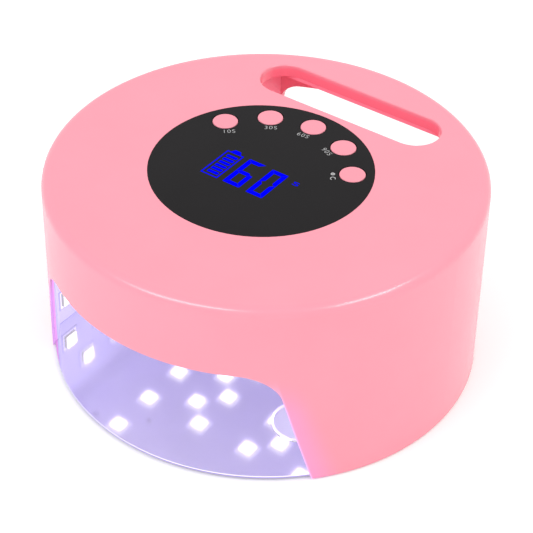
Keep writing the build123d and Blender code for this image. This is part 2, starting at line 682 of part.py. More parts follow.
# ---------------------------------------------------------------------------------- base
with BuildPart() as base_plate:
    with BuildSketch(Plane.XY.offset(PLATE_Z - PLATE_T)) as lip:
        Circle(PLATE_LIP_R)
        with Locations((0, -DRUM_R / 2)):
            Rectangle(2 * PLATE_LIP_HALF_X, DRUM_R, mode=Mode.INTERSECT)
    with BuildSketch(Plane.XY.offset(PLATE_Z - PLATE_T)):
        Circle(PLATE_R)
    extrude(amount=PLATE_T)
    extrude(lip.sketch, amount=PLATE_T)
    with BuildSketch(Plane.XY.offset(PLATE_Z)):
        with Locations(*SEAT_SPOTS):
            Circle(SEAT_R)
            Circle(SEAT_R - SEAT_RIDGE_W, mode=Mode.SUBTRACT)
    extrude(amount=SEAT_RIDGE_H)
    fillet(base_plate.edges().group_by(Axis.Z)[-1], SEAT_RIDGE_H * 0.7)
    # Dished floor inside each ridge
    for seat_x, seat_y in SEAT_SPOTS:
        with BuildSketch(Plane((seat_x, seat_y, PLATE_Z), x_dir=(1, 0, 0), z_dir=(0, -1, 0))):
            with BuildLine():
                Line((0, 0), (DISH_R, 0))
                RadiusArc((DISH_R, 0), (0, -SEAT_DISH), DISH_R**2 / (2 * SEAT_DISH) + SEAT_DISH / 2)
                Line((0, -SEAT_DISH), (0, 0))
            make_face()
        revolve(axis=Axis((seat_x, seat_y, 0), (0, 0, 1)), mode=Mode.SUBTRACT)
save(base_plate, "base_plate")

with BuildPart() as rubber_feet:
    with BuildSketch():
        with Locations(*FOOT_SPOTS):
            Circle(FOOT_R)
    extrude(amount=PLATE_Z - PLATE_T)
    chamfer(rubber_feet.edges().group_by(Axis.Z)[0], 0.4)
save(rubber_feet, "rubber_feet")

with BuildPart() as lower_frame:
    with BuildSketch(Plane.XY.offset(FRAME_Z)):
        Circle(FRAME_R)
        with BuildSketch(mode=Mode.SUBTRACT) as footprint:
            with Locations((0, (CHAMBER_REAR_Y + LINER_T + GAP - DRUM_R) / 2)):
                Rectangle(2 * (CHAMBER_HALF_X + LINER_T + GAP), CHAMBER_REAR_Y + LINER_T + GAP + DRUM_R)
            fillet(footprint.vertices().group_by(Axis.Y)[-1], CHAMBER_CORNER_R + LINER_T + GAP)
    extrude(amount=FRAME_T)
    with BuildSketch(Plane.XY.offset(FRAME_TOP_Z)):
        with Locations(*POWER_POSTS):
            Circle(POST_R)
    extrude(amount=POWER_Z - 0.1 - FRAME_TOP_Z)
    # Screw holes with pockets for the heads, and magnet pockets
    with BuildSketch(Plane.XY.offset(FRAME_Z)):
        with Locations(*TAB_SCREWS):
            Circle(SCREW_HOLE_R + 0.2)
        for deg in HOUSING_SCREW_DEGS:
            with PolarLocations(HOUSING_SCREW_R, 1, start_angle=deg):
                Circle(SCREW_HOLE_R + 0.2)
    extrude(amount=FRAME_T, mode=Mode.SUBTRACT)
    with BuildSketch(Plane.XY.offset(FRAME_Z)):
        with Locations(*TAB_SCREWS):
            Circle(SCREW_HEAD_R + 0.3)
        for deg in HOUSING_SCREW_DEGS:
            with PolarLocations(HOUSING_SCREW_R, 1, start_angle=deg):
                Circle(SCREW_HEAD_R + 0.3)
    extrude(amount=SCREW_HEAD_T + 0.2, mode=Mode.SUBTRACT)
    with BuildSketch(Plane.XY.offset(FRAME_Z)):
        with Locations(*MAGNET_SPOTS):
            Circle(MAGNET_R + 0.1)
    extrude(amount=MAGNET_T + 0.2, mode=Mode.SUBTRACT)
    with BuildSketch(Plane.XY.offset(FRAME_TOP_Z)):
        with Locations(*POWER_POSTS):
            Circle(SCREW_HOLE_R)
    extrude(amount=POWER_Z - FRAME_TOP_Z, mode=Mode.SUBTRACT)
save(lower_frame, "lower_frame")

with BuildPart() as magnets:
    with BuildSketch(Plane.XY.offset(FRAME_Z)):
        with Locations(*MAGNET_SPOTS):
            Circle(MAGNET_R)
    extrude(amount=MAGNET_T)
    chamfer(magnets.edges(), 0.3)
save(magnets, "magnets")

# ---------------------------------------------------------------------------------- battery pack
CELL_XS = [CELL_PITCH * (k - (CELL_COUNT - 1) / 2) for k in range(CELL_COUNT)]
TRAY_HALF_Y = CELL_L / 2 + 0.6 + TRAY_END_T
TRAY_TOP_Z = TRAY_Z + TRAY_T
CRADLE_HALF_X = CELL_PITCH * CELL_COUNT / 2 + 1.6

with BuildPart() as battery_cells:
    with BuildSketch(Plane.XZ.offset(-(CELL_Y + CELL_L / 2))):
        with Locations(*[(x, CELL_Z) for x in CELL_XS]):
            Circle(CELL_R)
    extrude(amount=CELL_L)
    fillet(battery_cells.edges().filter_by(GeomType.CIRCLE), 0.8)
save(battery_cells, "battery_cells")

with BuildPart() as battery_tray:
    with BuildSketch(Plane.XY.offset(TRAY_Z)):
        with Locations((0, CELL_Y)):
            RectangleRounded(2 * TRAY_HALF_X, 2 * TRAY_HALF_Y, 3)
        with Locations(*[(x, CELL_Y) for x in CELL_XS]):
            SlotOverall(CELL_L - 20, 8, rotation=90, mode=Mode.SUBTRACT)
    extrude(amount=TRAY_T)
    # End walls and grooved ribs that hold the cells
    with BuildSketch(Plane.XY.offset(TRAY_TOP_Z)):
        for side in (-1, 1):
            with Locations((0, CELL_Y + side * (TRAY_HALF_Y - TRAY_END_T / 2))):
                Rectangle(2 * CRADLE_HALF_X, TRAY_END_T)
    extrude(amount=CELL_Z + 3.6 - TRAY_TOP_Z)
    with BuildSketch(Plane.XY.offset(TRAY_TOP_Z)):
        for side in (-1, 1):
            with Locations((0, CELL_Y + side * CRADLE_RIB_DY)):
                Rectangle(2 * CRADLE_HALF_X, CRADLE_RIB_T)
    extrude(amount=CELL_Z - 1 - TRAY_TOP_Z)
    with BuildSketch(Plane.XZ.offset(-(CELL_Y + CELL_L / 2 + 0.5))):
        with Locations(*[(x, CELL_Z) for x in CELL_XS]):
            Circle(CELL_R + 0.1)
    extrude(amount=CELL_L + 1, mode=Mode.SUBTRACT)
    # Legs that stand on the chamber liner
    with BuildSketch(Plane.XY.offset(LINER_TOP_Z + 0.1)):
        with Locations(*TRAY_LEGS):
            Circle(TRAY_LEG_R)
    extrude(amount=TRAY_Z - LINER_TOP_Z - 0.1)
    with BuildSketch(Plane.XY.offset(LINER_TOP_Z)):
        with Locations(*TRAY_LEGS):
            Circle(SCREW_HOLE_R)
    extrude(amount=TRAY_TOP_Z - LINER_TOP_Z, mode=Mode.SUBTRACT)
save(battery_tray, "battery_tray")

with BuildPart() as battery_contacts:
    for side in (-1, 1):
        with BuildSketch(Plane.XZ.offset(-(CELL_Y + side * (CELL_L / 2 + CONTACT_T)))):
            with Locations((0, CELL_Z)):
                RectangleRounded(2 * CELL_XS[-1] + CONTACT_H + 1, CONTACT_H, 1)
        extrude(amount=CONTACT_T / 2, both=True)
save(battery_contacts, "battery_contacts")

# ---------------------------------------------------------------------------------- sockets in the rear
PORT_MID_Z = (PORT_LOW_Z + PORT_TOP_Z) / 2
PORT_H = PORT_TOP_Z - PORT_LOW_Z

with BuildPart() as port_plate:
    with BuildSketch(Plane.XZ.offset(-(PORT_FACE_Y - PORT_T))):
        with Locations((0, PORT_MID_Z)):
            RectangleRounded(2 * (PORT_HALF_X + PORT_WALL), PORT_H + 5, PORT_CORNER_R)
    extrude(amount=-DRUM_R)
    with BuildSketch(Plane.XZ.offset(-PORT_FACE_Y)):
        with Locations((0, PORT_MID_Z)):
            RectangleRounded(2 * PORT_HALF_X, PORT_H, PORT_CORNER_R)
    extrude(amount=-DRUM_R, mode=Mode.SUBTRACT)
    with BuildSketch(Plane.XZ.offset(-(PORT_FACE_Y - PORT_T))):
        with Locations((SWITCH_X, PORT_AXIS_Z)):
            Rectangle(SWITCH_BODY[0] + 0.2, SWITCH_BODY[1] + 0.2)
        with Locations((JACK_X, PORT_AXIS_Z)):
            Circle(JACK_NOSE_R + 0.1)
    extrude(amount=-PORT_T, mode=Mode.SUBTRACT)
    with BuildSketch():
        Circle(FRAME_R)
    extrude(amount=TOP_Z, mode=Mode.INTERSECT)
save(port_plate, "port_plate")

with BuildPart() as switch_body:
    with BuildSketch(Plane.XZ.offset(-PORT_FACE_Y)):
        with Locations((SWITCH_X, PORT_AXIS_Z)):
            RectangleRounded(SWITCH_BEZEL[0], SWITCH_BEZEL[1], 1)
    extrude(amount=-SWITCH_BEZEL[2])
    fillet(switch_body.edges().group_by(Axis.Y)[-1], 0.6)
    with BuildSketch(Plane.XZ.offset(-PORT_FACE_Y)):
        with Locations((SWITCH_X, PORT_AXIS_Z)):
            Rectangle(SWITCH_BODY[0], SWITCH_BODY[1])
    extrude(amount=SWITCH_BODY[2])
    with BuildSketch(Plane.XY.offset(PORT_AXIS_Z - ROCKER_HALF_WIDE - 0.2)):
        with Locations((SWITCH_X, PORT_FACE_Y)):
            Circle(ROCKER_SWEEP_R + 0.15)
    extrude(amount=2 * ROCKER_HALF_WIDE + 0.4, mode=Mode.SUBTRACT)
    with BuildSketch(Plane.XY.offset(PORT_AXIS_Z - SWITCH_BODY[1] / 2)):
        with Locations((SWITCH_X, PORT_FACE_Y)):
            Circle(ROCKER_PIN_R)
    extrude(amount=SWITCH_BODY[1], mode=Mode.SUBTRACT)
save(switch_body, "switch_body")

ROCKER_PLANE = Plane((SWITCH_X, PORT_FACE_Y, PORT_AXIS_Z)).rotated((0, 0, ROCKER_TILT_DEG))
with BuildPart() as switch_rocker:
    with BuildSketch(ROCKER_PLANE):
        with BuildLine():
            Polyline(
                (-ROCKER_HALF_LONG, 3.1),
                (0, 2.2),
                (ROCKER_HALF_LONG, 3.1),
                (ROCKER_HALF_LONG, -1.5),
                (3, -4),
                (-3, -4),
                (-ROCKER_HALF_LONG, -1.5),
                close=True,
            )
        make_face()
        Circle(ROCKER_PIN_R + 0.05, mode=Mode.SUBTRACT)
    extrude(amount=ROCKER_HALF_WIDE, both=True)
    fillet(switch_rocker.edges().filter_by(Axis.Z).group_by(Axis.Y)[-1], 0.6)
save(switch_rocker, "switch_rocker")

with BuildPart() as switch_pin:
    with BuildSketch(Plane.XY.offset(PORT_AXIS_Z - SWITCH_BODY[1] / 2 + 0.1)):
        with Locations((SWITCH_X, PORT_FACE_Y)):
            Circle(ROCKER_PIN_R)
    extrude(amount=SWITCH_BODY[1] - 0.2)
save(switch_pin, "switch_pin")

JACK_NOSE_L = PORT_T + 4.0
with BuildPart() as dc_jack:
    with BuildSketch(Plane.XZ.offset(-(PORT_FACE_Y - PORT_T))):
        with Locations((JACK_X, PORT_AXIS_Z)):
            Rectangle(JACK_BODY[0], JACK_BODY[2])
    extrude(amount=JACK_BODY[1])
    with BuildSketch(Plane.XZ.offset(-(PORT_FACE_Y - PORT_T))):
        with Locations((JACK_X, PORT_AXIS_Z)):
            Circle(JACK_NOSE_R)
    extrude(amount=-JACK_NOSE_L)
    with BuildSketch(Plane.XZ.offset(-(PORT_FACE_Y - PORT_T + JACK_NOSE_L))):
        with Locations((JACK_X, PORT_AXIS_Z)):
            Circle(JACK_BORE_R)
    extrude(amount=JACK_DEPTH, mode=Mode.SUBTRACT)
save(dc_jack, "dc_jack")

with BuildPart() as dc_jack_pin:
    with BuildSketch(Plane.XZ.offset(-(PORT_FACE_Y - PORT_T + JACK_NOSE_L - JACK_DEPTH))):
        with Locations((JACK_X, PORT_AXIS_Z)):
            Circle(JACK_PIN_R)
    extrude(amount=-(JACK_DEPTH - 1.5))
    fillet(dc_jack_pin.edges().group_by(Axis.Y)[-1], 0.5)
save(dc_jack_pin, "dc_jack_pin")

with BuildPart() as jack_nut:
    with BuildSketch(Plane.XZ.offset(-PORT_FACE_Y)):
        with Locations((JACK_X, PORT_AXIS_Z)):
            RegularPolygon(7.6, 6)
            Circle(JACK_NOSE_R + 0.05, mode=Mode.SUBTRACT)
    extrude(amount=-2.2)
    chamfer(jack_nut.edges().group_by(Axis.Y)[-1].filter_by(GeomType.LINE), 0.3)
save(jack_nut, "jack_nut")

# ---------------------------------------------------------------------------------- power board
with BuildPart() as power_board:
    with BuildSketch(Plane.XY.offset(POWER_Z)):
        with Locations((0, (POWER_Y[0] + POWER_Y[1]) / 2)):
            RectangleRounded(2 * POWER_HALF_X, POWER_Y[1] - POWER_Y[0], 2)
        with Locations(*POWER_POSTS):
            Circle(SCREW_HOLE_R, mode=Mode.SUBTRACT)
    extrude(amount=PCB_T)
save(power_board, "power_board")

POWER_TOP_Z = POWER_Z + PCB_T
with BuildPart() as power_inductor:
    with BuildSketch(Plane.XZ.offset(-INDUCTOR_SPOT[1])):
        with Locations((INDUCTOR_SPOT[0] + INDUCTOR_RING_R, POWER_TOP_Z + INDUCTOR_WINDING_R + 0.2)):
            Circle(INDUCTOR_WINDING_R)
    revolve(axis=Axis((*INDUCTOR_SPOT, 0), (0, 0, 1)))
save(power_inductor, "power_inductor")

with BuildPart() as power_capacitors:
    with BuildSketch(Plane.XY.offset(POWER_TOP_Z)):
        with Locations(*POWER_CAP_SPOTS):
            Circle(POWER_CAP_R)
    extrude(amount=POWER_CAP_T)
    fillet(power_capacitors.edges().group_by(Axis.Z)[-1], 0.6)
save(power_capacitors, "power_capacitors")

with BuildPart() as heat_sink:
    with BuildSketch(Plane.XY.offset(POWER_TOP_Z)):
        with Locations(SINK_SPOT):
            Rectangle(SINK_SIZE[0], SINK_SIZE[1])
    extrude(amount=SINK_SIZE[2])
    with BuildSketch(Plane.XY.offset(POWER_TOP_Z + SINK_BASE_T)):
        with Locations(SINK_SPOT):
            with GridLocations(SINK_GROOVE_PITCH, 0, 4, 1):
                Rectangle(SINK_GROOVE_W, SINK_SIZE[1])
    extrude(amount=SINK_SIZE[2], mode=Mode.SUBTRACT)
save(heat_sink, "heat_sink")


# ---------------------------------------------------------------------------------- screws
def screw_group(spots, seat_z, length, up=1):
    """Pan-head screws: heads on the seat at seat_z, shanks pointing up (1) or down (-1)."""
    with BuildPart() as group:
        with BuildSketch(Plane.XY.offset(seat_z)):
            with Locations(*spots):
                Circle(SCREW_R)
        extrude(amount=up * length)
        with BuildSketch(Plane.XY.offset(seat_z)):
            with Locations(*spots):
                Circle(SCREW_HEAD_R)
        extrude(amount=-up * (SCREW_HEAD_T - 0.1))
        face_z = seat_z - up * (SCREW_HEAD_T - 0.1)
        fillet([e for e in group.edges() if abs(e.center().Z - face_z) < 0.01], 0.6)
        with BuildSketch(Plane.XY.offset(face_z)):
            with Locations(*spots):
                Rectangle(SCREW_CROSS[0], SCREW_CROSS[1])
                Rectangle(SCREW_CROSS[1], SCREW_CROSS[0])
        extrude(amount=up * SCREW_CROSS[2], mode=Mode.SUBTRACT)
    return group


HEAD_SEAT_Z = FRAME_Z + SCREW_HEAD_T + 0.2
HOUSING_SCREWS = ring_spots(HOUSING_SCREW_R, HOUSING_SCREW_DEGS, Plane.XY)
BOARD_SCREWS = ring_spots(BOARD_POST_RING_R, BOARD_POST_DEGS, PANEL_PLANE)

save(screw_group(HOUSING_SCREWS, HEAD_SEAT_Z, 13), "housing_screws")
save(screw_group(TAB_SCREWS, HEAD_SEAT_Z, 5.4), "liner_screws")
save(screw_group(BOARD_SCREWS, BOARD_Z, 8), "control_board_screws")
save(screw_group(POWER_POSTS, POWER_TOP_Z, 5.6, up=-1), "power_board_screws")
save(screw_group(LED_BOARD_SCREWS, LED_BOARD_Z + PCB_T, 3.6, up=-1), "led_board_screws")
save(screw_group(TRAY_LEGS, TRAY_TOP_Z, 7.6, up=-1), "tray_screws")

# ---------------------------------------------------------------------------------- leads between the boards
LEAD_ROUTES = (                # points, radius of the bends
    # battery pack to control board
    (((-36, 4.8, 70), (-36, 11, 70), (-45, 15, 77), (-52.5, 9, 81), (-52.5, 9, 87.6)), 2.5),
    # power board to ceiling LED board
    (
        (
            (14, 57, 14),
            (14, 57, 18),
            (14, 54.2, 25),
            (14, 54.2, 60),
            (14, 44, 66),
            (14, 32, 66),
            (14, 32, 58.5),
        ),
        2.0,
    ),
    # power board to control board
    (
        (
            (-14, 57, 14),
            (-14, 57, 18),
            (-14, 54.2, 25),
            (-14, 54.2, 76),
            (-10, 46, 84),
            (-10, 46, 91.8),
        ),
        2.0,
    ),
    # switch and socket to power board
    (((SWITCH_X, 85.3, 20.5), (SWITCH_X, 79, 20.5), (SWITCH_X, 76, 18), (SWITCH_X, 76, 14)), 1.6),
    (((JACK_X, 82.3, 20.5), (JACK_X, 79, 20.5), (JACK_X, 76, 18), (JACK_X, 76, 14)), 1.6),
)
with BuildPart() as board_leads:
    for route, bend_r in LEAD_ROUTES:
        with BuildLine() as run:
            FilletPolyline(*route, radius=bend_r)
        with BuildSketch(Plane(run.line @ 0, z_dir=run.line % 0)):
            Circle(LEAD_R)
        sweep(path=run.line)
save(board_leads, "board_leads")
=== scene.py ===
"""Looks of the UV LED nail lamp: finishes of its pieces, the lit display, the lamps and the printed signs."""

from math import cos, pi, radians, sin

import bmesh
import bpy
from mathutils import Matrix, Vector


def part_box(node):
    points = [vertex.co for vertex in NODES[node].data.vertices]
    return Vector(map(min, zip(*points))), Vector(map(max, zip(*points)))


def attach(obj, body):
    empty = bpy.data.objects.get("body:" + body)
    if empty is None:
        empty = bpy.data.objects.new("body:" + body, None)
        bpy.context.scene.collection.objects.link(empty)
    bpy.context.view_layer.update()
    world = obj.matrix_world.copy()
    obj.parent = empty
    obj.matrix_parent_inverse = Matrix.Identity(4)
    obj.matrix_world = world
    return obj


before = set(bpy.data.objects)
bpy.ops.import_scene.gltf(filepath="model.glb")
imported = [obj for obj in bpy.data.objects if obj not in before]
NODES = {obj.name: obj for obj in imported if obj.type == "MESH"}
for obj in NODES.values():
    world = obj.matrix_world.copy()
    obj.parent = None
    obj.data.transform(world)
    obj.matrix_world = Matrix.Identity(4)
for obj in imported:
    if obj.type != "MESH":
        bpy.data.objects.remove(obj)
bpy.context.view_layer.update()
SCENE = bpy.context.scene
MM = 0.001


# ------------------------------------------------------------------------------ node materials
def new_material(name):
    """An empty node material and its tree."""
    material = bpy.data.materials.new(name)
    material.use_nodes = True
    material.node_tree.nodes.clear()
    return material, material.node_tree


def link_or_set(tree, socket, value):
    """Feeds a socket from another socket, or sets it to a number or a colour."""
    if isinstance(value, bpy.types.NodeSocket):
        tree.links.new(value, socket)
    elif isinstance(value, (tuple, list)):
        socket.default_value = (*value, 1.0) if len(socket.default_value) == 4 else value
    else:
        socket.default_value = value


def place(tree):
    """Object coordinates, which are the frame's own coordinates in metres."""
    return tree.nodes.new("ShaderNodeTexCoord").outputs["Object"]


def noise(tree, where, scale, detail=2.0):
    texture = tree.nodes.new("ShaderNodeTexNoise")
    texture.inputs["Scale"].default_value = scale
    texture.inputs["Detail"].default_value = detail
    tree.links.new(where, texture.inputs["Vector"])
    return texture.outputs["Fac"]


def remap(tree, value, low, high, from_low=0.3, from_high=0.7, smooth=False):
    node = tree.nodes.new("ShaderNodeMapRange")
    if smooth:
        node.interpolation_type = "SMOOTHSTEP"
    node.inputs["From Min"].default_value = from_low
    node.inputs["From Max"].default_value = from_high
    node.inputs["To Min"].default_value = low
    node.inputs["To Max"].default_value = high
    tree.links.new(value, node.inputs["Value"])
    return node.outputs["Result"]


def calc(tree, operation, first, second=0.0):
    node = tree.nodes.new("ShaderNodeMath")
    node.operation = operation
    link_or_set(tree, node.inputs[0], first)
    link_or_set(tree, node.inputs[1], second)
    return node.outputs["Value"]


def mix(tree, share, first, second):
    node = tree.nodes.new("ShaderNodeMix")
    node.data_type = "RGBA"
    for socket, value in ((node.inputs[0], share), (node.inputs[6], first), (node.inputs[7], second)):
        link_or_set(tree, socket, value)
    return node.outputs[2]


def shade(colour, factor):
    return tuple(min(1.0, part * factor) for part in colour)


def surface(
    name,
    colour,
    roughness=0.35,
    metallic=0.0,
    specular=0.5,
    grain=900.0,
    grain_depth=0.02,
    mottle=0.04,
    blotch=35.0,
):
    """A moulded, cast or rolled surface: faint mottling, uneven gloss and a fine grain in the relief."""
    material, tree = new_material(name)
    where = place(tree)
    shader = tree.nodes.new("ShaderNodeBsdfPrincipled")
    shader.name = "shader"
    out = tree.nodes.new("ShaderNodeOutputMaterial")
    out.name = "out"
    broad = remap(tree, noise(tree, where, blotch, 3.0), 0.0, 1.0)
    fine = noise(tree, where, grain)
    base = mix(tree, broad, shade(colour, 1 - mottle), shade(colour, 1 + mottle))
    tree.links.new(base, shader.inputs["Base Color"])
    tree.links.new(remap(tree, fine, roughness * 0.9, roughness * 1.1), shader.inputs["Roughness"])
    shader.inputs["Metallic"].default_value = metallic
    shader.inputs["Specular IOR Level"].default_value = specular
    bump = tree.nodes.new("ShaderNodeBump")
    bump.inputs["Distance"].default_value = grain_depth * MM
    tree.links.new(fine, bump.inputs["Height"])
    tree.links.new(bump.outputs["Normal"], shader.inputs["Normal"])
    tree.links.new(shader.outputs["BSDF"], out.inputs["Surface"])
    return material


def add_glow(material, colour, strength, mask=None):
    """Lets part of a surface give light of its own."""
    tree = material.node_tree
    shader = tree.nodes["shader"]
    shader.inputs["Emission Color"].default_value = (*colour, 1.0)
    share = calc(tree, "MULTIPLY", mask, strength) if mask else strength
    link_or_set(tree, shader.inputs["Emission Strength"], share)


def lit(name, colour, edge_colour, strength, grain=400.0):
    """A light-giving surface, a little uneven as a diffuser is."""
    material, tree = new_material(name)
    emission = tree.nodes.new("ShaderNodeEmission")
    out = tree.nodes.new("ShaderNodeOutputMaterial")
    share = remap(tree, noise(tree, place(tree), grain), 0.0, 1.0)
    tree.links.new(mix(tree, share, colour, edge_colour), emission.inputs["Color"])
    emission.inputs["Strength"].default_value = strength
    tree.links.new(emission.outputs["Emission"], out.inputs["Surface"])
    return material


def dress(material, *names):
    for name in names:
        for slot in NODES[name].material_slots:
            slot.material = material


# ------------------------------------------------------------------------------ mesh helpers
def add_piece(name, mesh, material, body="housing"):
    """A piece of the object, on one of its bodies."""
    piece = bpy.data.objects.new(name, mesh)
    SCENE.collection.objects.link(piece)
    piece.data.materials.clear()
    piece.data.materials.append(material)
    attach(piece, body)
    return piece


def plates_mesh(name, outlines, low, high):
    """Flat plates with the given outlines of x, y in metres, from one height to another."""
    sheet = bmesh.new()
    for outline in outlines:
        bottom = [sheet.verts.new((x, y, low)) for x, y in outline]
        top = [sheet.verts.new((x, y, high)) for x, y in outline]
        sheet.faces.new(bottom)
        sheet.faces.new(top)
        for k in range(len(outline)):
            after = (k + 1) % len(outline)
            sheet.faces.new((bottom[k], bottom[after], top[after], top[k]))
    bmesh.ops.recalc_face_normals(sheet, faces=sheet.faces)
    mesh = bpy.data.meshes.new(name)
    sheet.to_mesh(mesh)
    sheet.free()
    return mesh


def ring_mesh(name, centre, radii, low, high, start=0.0, sweep=2 * pi, steps=64):
    """A flat ring or arc, as one plate."""
    inner, outer = radii
    closed = sweep >= 2 * pi - 1e-6
    count = steps if closed else steps + 1
    sheet = bmesh.new()
    rows = []
    for k in range(count):
        angle = start + sweep * k / steps
        direction = Vector((cos(angle), sin(angle)))
        rows.append(
            [
                sheet.verts.new((centre[0] + r * direction.x, centre[1] + r * direction.y, z))
                for r, z in ((inner, low), (outer, low), (outer, high), (inner, high))
            ]
        )
    for k in range(count if closed else count - 1):
        here, there = rows[k], rows[(k + 1) % count]
        for side in range(4):
            after = (side + 1) % 4
            sheet.faces.new((here[side], here[after], there[after], there[side]))
    if not closed:
        sheet.faces.new(rows[0])
        sheet.faces.new(rows[-1])
    bmesh.ops.recalc_face_normals(sheet, faces=sheet.faces)
    mesh = bpy.data.meshes.new(name)
    sheet.to_mesh(mesh)
    sheet.free()
    return mesh


LETTER_SPACING = 1.16
LETTER_THINNING = 0.015


def text_mesh(name, words, height, thickness):
    """Letters as a mesh, centred on the origin, with capitals of the given height."""
    curve = bpy.data.curves.new(name, "FONT")
    curve.body = words
    curve.size = height / 0.7
    curve.align_x = "CENTER"
    curve.align_y = "CENTER"
    curve.extrude = thickness / 2
    curve.space_character = LETTER_SPACING
    curve.offset = -LETTER_THINNING * height
    holder = bpy.data.objects.new(name + "_text", curve)
    SCENE.collection.objects.link(holder)
    bpy.context.view_layer.update()
    evaluated = holder.evaluated_get(bpy.context.evaluated_depsgraph_get())
    mesh = bpy.data.meshes.new_from_object(evaluated)
    bpy.data.objects.remove(holder)
    bpy.data.curves.remove(curve)
    mesh.name = name
    return mesh


# ------------------------------------------------------------------------------ finishes of the CAD pieces, and painted light and shade on some of them
PINK = (0.89, 0.30, 0.378)
SLOT_SHADE_PINK = (0.94, 0.20, 0.285)
DEEP_PINK = (0.99, 0.31, 0.42)
GAP_SHADE_RED = (0.16, 0.012, 0.03)
JAMB_EDGE_HIGHLIGHT = (1.0, 0.50, 0.80)
EDGE_SHADE_VIOLET = (0.44, 0.36, 0.78)
LAVENDER_WHITE = (0.67, 0.61, 1.0)
JAMB_PAINTED_SPILL = (0.10, 0.04, 1.0)
LIP_PAINTED_HIGHLIGHT = (0.95, 0.40, 0.92)

# The mouth in the front of the shell: half width at its foot, and how far each jamb leans in
MOUTH_FOOT_X = 81.75 * MM
MOUTH_LEAN = 0.2065
MOUTH_Z = 67 * MM

# Painted light on the jambs of the mouth: a lit magenta edge, and a violet glow standing in for the chamber lamps'
# light spilling onto them
JAMB_SPILL_STRENGTH = 0.17
JAMB_SPILL_REACH = 11 * MM
JAMB_HIGHLIGHT_REACH = 0.8 * MM

# The slot of the handle
TOP_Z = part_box("top_housing")[1].z
SLOT_START_Y = 58.5 * MM
SLOT_END_Y = 87 * MM
SLOT_HALF_X = 58 * MM


def axes(tree):
    """X, Y and Z of the frame, in metres."""
    split = tree.nodes.new("ShaderNodeSeparateXYZ")
    tree.links.new(place(tree), split.inputs["Vector"])
    return split.outputs


def both(tree, first, second):
    return calc(tree, "MULTIPLY", first, second)


def radius(tree, x, y):
    """Distance from the origin of x and y."""
    return calc(tree, "SQRT", calc(tree, "ADD", both(tree, x, x), both(tree, y, y)))


def tint_where(material, mask, colour):
    """Takes the colour of a surface to another one where the mask is 1."""
    tree = material.node_tree
    socket = tree.nodes["shader"].inputs["Base Color"]
    tree.links.new(mix(tree, mask, socket.links[0].from_socket, colour), socket)


def jamb_light_mask(tree, reach):
    """1 at the foot of each jamb of the mouth, falling to 0 at the given distance from it: where the jambs' painted
    highlight and painted light spill go.
    """
    x, y, z = axes(tree)
    across = calc(tree, "ABSOLUTE", x)
    edge = calc(tree, "SUBTRACT", MOUTH_FOOT_X, calc(tree, "MULTIPLY", z, MOUTH_LEAN))
    near = remap(tree, calc(tree, "SUBTRACT", across, edge), 1.0, 0.0, 0.0, reach, smooth=True)
    low = remap(tree, z, 1.0, 0.0, 0.6 * MOUTH_Z, MOUTH_Z, smooth=True)
    front = remap(tree, y, 1.0, 0.0, -30 * MM, -20 * MM)
    return both(tree, both(tree, near, low), front)


def slot_shade_mask(tree):
    """1 on the walls of the slot, under its rounded rim, where a deeper pink is painted as the shade and bounced pink
    light of the recess.
    """
    x, y, z = axes(tree)
    deep = remap(tree, z, 1.0, 0.0, TOP_Z - 3.2 * MM, TOP_Z - 0.6 * MM, smooth=True)
    behind = remap(tree, y, 0.0, 1.0, SLOT_START_Y, SLOT_START_Y + 0.5 * MM)
    before = remap(tree, y, 1.0, 0.0, SLOT_END_Y, SLOT_END_Y + 0.5 * MM)
    between = remap(tree, calc(tree, "ABSOLUTE", x), 1.0, 0.0, SLOT_HALF_X, SLOT_HALF_X + 0.5 * MM)
    return both(tree, both(tree, deep, behind), both(tree, before, between))


shell_pink = surface("shell_pink", PINK, roughness=0.23, specular=0.42, grain=260.0, grain_depth=0.01, mottle=0.015)
shell_tree = shell_pink.node_tree
# Painted shade: the slot's walls take a deeper pink, for the shade and bounced pink light in the recess
tint_where(shell_pink, slot_shade_mask(shell_tree), SLOT_SHADE_PINK)
# Painted light: a lit magenta edge on each jamb, and a violet glow for the lamps' light spilling onto it
tint_where(shell_pink, jamb_light_mask(shell_tree, JAMB_HIGHLIGHT_REACH), JAMB_EDGE_HIGHLIGHT)
add_glow(shell_pink, JAMB_PAINTED_SPILL, JAMB_SPILL_STRENGTH, jamb_light_mask(shell_tree, JAMB_SPILL_REACH))

handle_pink = surface("handle_pink", DEEP_PINK, roughness=0.45, specular=0.12, grain=500.0, mottle=0.02)
cap_pink = surface("cap_pink", shade(PINK, 0.95), roughness=0.38, grain=1500.0, grain_depth=0.01, mottle=0.015)
panel_black = surface("panel_black", (0.006, 0.005, 0.006), roughness=0.42, specular=0.12, grain=1800.0, mottle=0.1)
guide_black = surface("guide_black", (0.02, 0.008, 0.01), roughness=0.6, grain=1200.0, mottle=0.1)
liner_lavender = surface("liner_lavender", (0.66, 0.62, 0.84), roughness=0.3, grain=500.0, mottle=0.02)


def wall_painted_light(tree, low, high):
    """How strongly the chamber's liner glows as painted light from its lamps: most on the front of its side walls,
    least on its ceiling.
    """
    x, y, z = axes(tree)
    side = remap(tree, calc(tree, "ABSOLUTE", x), 0.0, 1.0, 83 * MM, 87 * MM)
    front = remap(tree, y, 1.0, 0.0, -40 * MM, 5 * MM, smooth=True)
    return remap(tree, both(tree, side, front), low, high, 0.0, 1.0)


def lip_highlight_mask(tree):
    """1 on the outermost edge of the liner's lip, next to the skirt, where a lit magenta strip is painted and made to
    glow.
    """
    x, y, z = axes(tree)
    return remap(tree, radius(tree, x, y), 0.0, 1.0, 107.5 * MM, 107.7 * MM)


